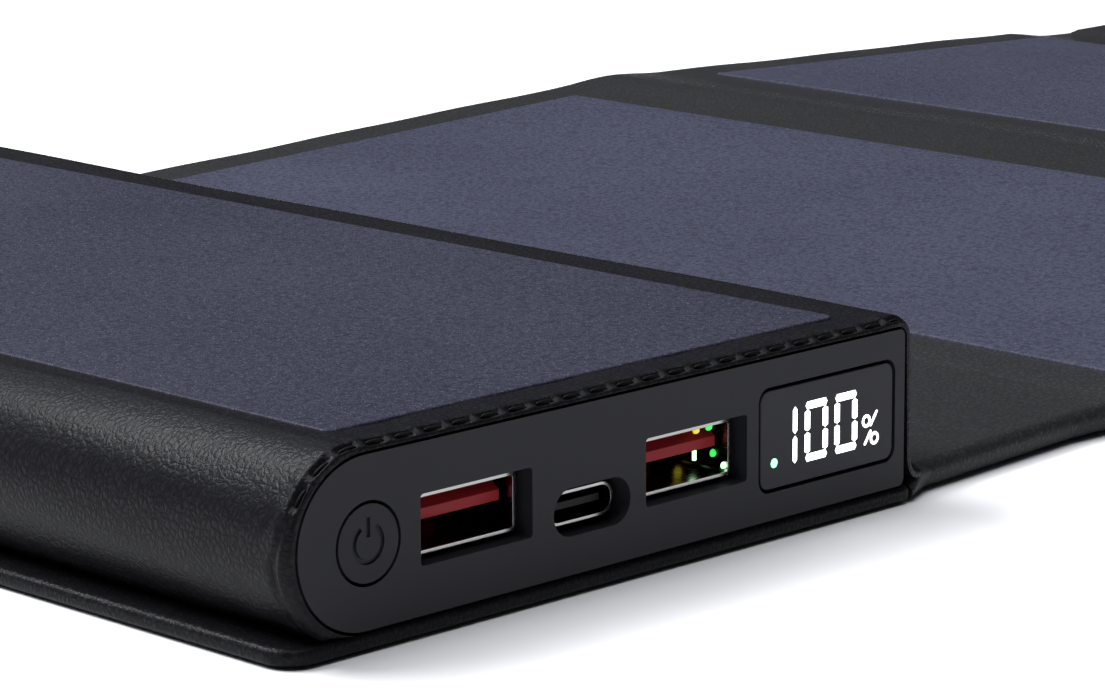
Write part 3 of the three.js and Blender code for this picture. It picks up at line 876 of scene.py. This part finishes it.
near_film = textured_film("panel_film", (0.027, 0.0282, 0.0435), (0.033, 0.0342, 0.052))
cell_low, cell_high = (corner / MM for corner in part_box("solar_panel_1"))
panel = rounded_slab(
    "top_solar_panel",
    (cell_low.x, cell_high.x),
    (cell_low.y, cell_high.y),
    (cell_low.z, cell_high.z + PANEL_PROUD),
    (PANEL_CORNER, PANEL_CORNER),
    PANEL_EDGE,
    near_film,
)
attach(panel, "body")
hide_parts("solar_panel_1")


# Fold-out leaves: a stiff board between two skins of the same leather, here painted lighter for
# the light that falls on them, with rounded edges, a laminate glued in a shallow seat on each
# leaf, and the skins running on as the hinges.
# The rear edge curls up a little, by REAR_LIFTS at the board and at both ends of each leaf.
EDGE = 1.3
LEAF_TOP, BACK_SKIN = 3.78, 1.0
BEND_IN = 2.4
REAR_OVERHANG = 2.5
REAR_LIFTS = (0.0, 1.3, 0.5, 0.5, 1.0, 0.1, 0.0)
SPINE_SPACING, LEAF_SPACING, BEND_SPACING = 1.0, 2.5, 0.5
OUTER_ROUND = 1.4
LAMINATE_DEPTH, LAMINATE_PROUD, LAMINATE_ROUND = 0.72, 0.2, 0.3
hinge_x = {joint["name"]: joint["pos_m"][0] / MM for joint in frame["joints"] if "pos_m" in joint}


def leaf_ends(number, climbing):
    """A leaf's two ends in X and its underside's height at each, from its back skin's box."""
    low, high = (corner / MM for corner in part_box("leaf_" + number + "_back"))
    heights = (low.z, high.z - BACK_SKIN) if climbing else (high.z - BACK_SKIN, low.z)
    places = (low.x, low.x + BEND_IN, high.x - BEND_IN, high.x)
    return [(x, np.interp(x, (low.x, high.x), heights)) for x in places]


spine_from, spine_to = (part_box("spine_top")[k].x / MM for k in (0, 1))
leaves = {"2": leaf_ends("2", True), "3": leaf_ends("3", False), "4": leaf_ends("4", True)}
fold_start = line[-1, 0]
board_edge = base_high.x + 0.15
# The fold line: places in X, each with the heights of the leather's underside and top there.
fold_line = [
    (board_edge, 0.1, 1.6),
    ((board_edge + fold_start) / 2, 0.15, 2.2),
    (fold_start, 0.08, FOLD_TOP - 0.06),
    (hinge_x["hinge_a"], 0.08, 3.12),
    (spine_from, 0.08, 3.12),
    ((spine_from + spine_to) / 2, 0.1, 3.3),
    (spine_to, 0.15, 3.25),
    (hinge_x["hinge_b"], 0.2, 3.3),
]
for number, eases, bend in (
    ("2", (0.4, 0, 0, 0), (hinge_x["hinge_c"], 5.4, 8.4)),
    ("3", (0, 0, 0, 0.3), (hinge_x["hinge_d"], 0.15, 3.2)),
    ("4", (0.4, 0, 0, 0), None),
):
    for (x, z), ease in zip(leaves[number], eases):
        fold_line.append((x, z + 0.04, z + LEAF_TOP - ease))
    if bend:
        fold_line.append(bend)


def flowing(points, x):
    """A cubic through the points, whose slope at each is the gentler of the slopes beside it.

    Where the line turns from rising to falling the slope is level, so it never overshoots.
    """
    place, value = np.array(points).T
    chord = np.diff(value) / np.diff(place)
    before, after = np.append(chord[0], chord), np.append(chord, chord[-1])
    gentler = np.where(np.abs(before) < np.abs(after), before, after)
    slope = np.where(before * after > 0, gentler, 0)
    k = np.clip(np.searchsorted(place, x, side="right") - 1, 0, len(place) - 2)
    width = place[k + 1] - place[k]
    t = (x - place[k]) / width
    start = (2 * t**3 - 3 * t**2 + 1) * value[k] + (t**3 - 2 * t**2 + t) * width * slope[k]
    return start + (3 * t**2 - 2 * t**3) * value[k + 1] + (t**3 - t**2) * width * slope[k + 1]


def rear_lift(x, y):
    """How far the leaves curl up towards their rear edge, in millimetres.

    At the rear edge it follows straight lines between the leaves' ends. Before that it grows
    as the power 1.5 of the distance from the front edge.
    """
    ends = [edge for number in leaves for edge in (leaf_from[number], leaf_to[number])]
    places = [board_edge, *ends]
    at_rear = np.interp(x, places, REAR_LIFTS)
    return at_rear[:, None] * (np.clip((y - sleeve_low.y) / length, 0, 1) ** 1.5)[None, :]


def run_stations(x_from, x_to, spacing, start_round=0.0, end_round=0.0):
    """Places in X along a run, and the share of its thickness at each.

    At a rounded end of depth r the places lie at r * (1 - sin t) in from the end, where the
    thickness is the cosine of t.
    """
    count = max(int((x_to - x_from) / spacing), 6) + 1
    x = np.linspace(x_from + start_round, x_to - end_round, count)
    pinch = np.ones(count)
    turn = np.radians(np.linspace(10, 86, 7))
    if start_round:
        x = np.concatenate([x_from + start_round * (1 - np.sin(turn[::-1])), x])
        pinch = np.concatenate([np.cos(turn[::-1]), pinch])
    if end_round:
        x = np.concatenate([x, x_to - end_round * (1 - np.sin(turn))])
        pinch = np.concatenate([pinch, np.cos(turn)])
    return x, pinch


def folded_run(
    name, stations, y_ends, edge, heights, material, ripple=0.0, recess=np.zeros_like
):
    """A closed strip that follows the fold line between two heights above its underside.

    Across Y its section is flat with half ellipses, edge deep, at front and back. The upper
    face has a faint ripple of crossed sines, and the whole strip curls with rear_lift. recess
    says how far its front edge is drawn back at x; the shift fades as a square to the rear.
    """
    x, pinch = stations
    turn = np.radians(np.linspace(5, 90, 7))
    rounded = edge * (1 - np.cos(turn))
    flat = np.linspace(y_ends[0] + edge + 1.5, y_ends[1] - edge - 1.5, 60)
    y = np.concatenate([y_ends[0] + rounded, flat, y_ends[1] - rounded[::-1]])
    share = np.concatenate([np.sin(turn), np.ones(len(flat)), np.sin(turn)[::-1]])
    bottom, over = heights(x)
    middle = ((bottom + over) / 2)[:, None]
    half = ((over - bottom) / 2 * pinch)[:, None] * share[None, :]
    wave = 0.05 * np.sin(x[:, None] * 0.23 + y[None, :] * 0.041)
    wave = wave + 0.045 * np.sin(x[:, None] * 0.11 - y[None, :] * 0.093 + 0.7)
    upper = middle + half + ripple * wave * share[None, :] + rear_lift(x, y)
    lower = middle - half + rear_lift(x, y)
    loop_z = np.concatenate([upper, lower[:, ::-1]], axis=1)
    forward_share = np.clip((y_ends[1] - y) / (y_ends[1] - y_ends[0]), 0, 1) ** 2
    moved_y = y[None, :] + recess(x)[:, None] * forward_share[None, :]
    loop_y = np.concatenate([moved_y, moved_y[:, ::-1]], axis=1)
    loop_x = np.repeat(x[:, None], loop_z.shape[1], axis=1)
    rings = np.stack([loop_x, loop_y, loop_z], axis=-1)
    faces, index = skin(rings)
    faces += end_strip(index[0]) + end_strip(index[-1], flip=True)
    return closed_mesh(name, rings.reshape(-1, 3), faces, material, sharp=50)


def leather_heights(x):
    """The leather's underside and top along the fold line."""
    bottom = flowing([(row[0], row[1]) for row in fold_line], x)
    return bottom, flowing([(row[0], row[2]) for row in fold_line], x)


def leather_run(name, x_from, x_to, spacing, end_round=0.0):
    """A stretch of the fold-out leather from front to back."""
    stations = run_stations(x_from, x_to, spacing, 0.0, end_round)
    y_ends = (sleeve_low.y, sleeve_high.y + REAR_OVERHANG)
    piece = folded_run(
        name, stations, y_ends, EDGE, leather_heights, leather_painted_lighter, 1.0, front_setback
    )
    return piece


leaf_to = {number: ends[-1][0] for number, ends in leaves.items()}
leaf_from = {number: ends[0][0] for number, ends in leaves.items()}
spine_piece = leather_run("spine_leather", spine_from, spine_to, SPINE_SPACING)
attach(spine_piece, "spine")
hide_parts("spine_back", "spine_top", "spine_board")
for number in leaves:
    last = OUTER_ROUND if number == "4" else 0.0
    name = "leaf_" + number + "_leather"
    piece = leather_run(name, leaf_from[number], leaf_to[number], LEAF_SPACING, last)
    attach(piece, "leaf_" + number)
    for layer in ("_back", "_board", "_frame"):
        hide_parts("leaf_" + number + layer)

bend_runs = (
    ("hinge_a_leather", board_edge, spine_from, "body", "spine"),
    ("hinge_b_leather", spine_to, leaf_from["2"], "spine", "leaf_2"),
    ("hinge_c_leather", leaf_to["2"], leaf_from["3"], "leaf_2", "leaf_3"),
    ("hinge_d_leather", leaf_to["3"], leaf_from["4"], "leaf_3", "leaf_4"),
)
bend_strips = (
    ("hinge_a_base_strip", "hinge_a_spine_strip"),
    ("hinge_b_spine_strip", "hinge_b_leaf_strip"),
    ("hinge_c_near_strip", "hinge_c_far_strip"),
    ("hinge_d_near_strip", "hinge_d_far_strip"),
)
for (name, x_from, x_to, near_body, far_body), strips in zip(bend_runs, bend_strips):
    piece = leather_run(name, x_from, x_to, BEND_SPACING)
    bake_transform(piece)
    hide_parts(*strips)

# Leaf laminates: the same textured solar laminates with eased edges, painted paler for the light
# seen on the far leaves. They stand slightly proud of the leather round them and curl with it.
far_film_painted_paler = textured_film("leaf_film_painted_paler", (0.0385, 0.041, 0.064), (0.0465, 0.049, 0.075))


def laminate_heights(x):
    """A laminate's underside and top: it lies in the leather and stands a little proud of it."""
    bottom = leather_heights(x)[0]
    return bottom + LEAF_TOP - LAMINATE_DEPTH, bottom + LEAF_TOP + LAMINATE_PROUD


for number in leaves:
    low, high = (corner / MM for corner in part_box("solar_panel_" + number))
    stations = run_stations(low.x, high.x, LEAF_SPACING, LAMINATE_ROUND, LAMINATE_ROUND)
    name = "leaf_" + number + "_laminate"
    laminate = folded_run(
        name, stations, (low.y, high.y), LAMINATE_ROUND, laminate_heights, far_film_painted_paler
    )
    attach(laminate, "leaf_" + number)
    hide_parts("solar_panel_" + number)


# Inside the body: the tube of the housing, the two foil-wrapped cells and their pad, and the
# circuit board with its parts. They are seen only with the skins taken off.
def repaint(names, material):
    """Gives these CAD solids their own finish in place of the plain one."""
    for name in names:
        mesh = frame["nodes"][name].data
        mesh.materials.clear()
        mesh.materials.append(material)


def mottled(name, colour, roughness, metallic=0.0, scale=900.0, depth=0.00004, contrast=0.25):
    """A plain stuff with fine grain: noise moves its tone, its gloss and its surface."""
    material = finish_of(name, colour, roughness, metallic)
    place = object_place(material)
    grain = node(material, "TexNoise", {"Vector": place, "Scale": scale, "Detail": 4.0})
    inputs = {"Height": grain.outputs["Fac"], "Strength": 0.3, "Distance": depth}
    bump = node(material, "Bump", inputs)
    dark = tuple((1 - contrast) * c for c in colour)
    light = tuple((1 + contrast) * c for c in colour)
    join_shader(
        material,
        Normal=bump.outputs["Normal"],
        Base_Color=tint(material, grain.outputs["Fac"], dark, light),
        Roughness=spread(material, grain.outputs["Fac"], roughness - 0.07, roughness + 0.07),
    )
    return material


repaint(["housing"], mottled("housing_plastic", (0.03, 0.03, 0.034), 0.5))
foil = mottled("crimped_foil", (0.62, 0.63, 0.65), 0.32, 0.9, 260.0, 0.0001, 0.08)
repaint(["battery_cell_left", "battery_cell_right"], foil)
repaint(["foam_pad"], mottled("grey_foam", (0.16, 0.16, 0.17), 0.9, scale=1500.0, depth=0.0003))
repaint(["main_board", "protection_board"], mottled("green_circuit", (0.012, 0.11, 0.045), 0.38))
repaint(["inductor"], mottled("ferrite_block", (0.07, 0.07, 0.075), 0.7))
repaint(["power_chip"], mottled("chip_resin", (0.015, 0.015, 0.016), 0.55))
can = mottled("capacitor_can", (0.6, 0.6, 0.62), 0.3, 0.9)
repaint(["capacitor_left", "capacitor_right"], can)
repaint(["tact_switch"], mottled("switch_steel", (0.5, 0.5, 0.5), 0.35, 0.9))
repaint(["display_module"], mottled("display_resin", (0.5, 0.5, 0.48), 0.5))
repaint(["status_led"], mottled("lamp_resin", (0.45, 0.62, 0.42), 0.3))
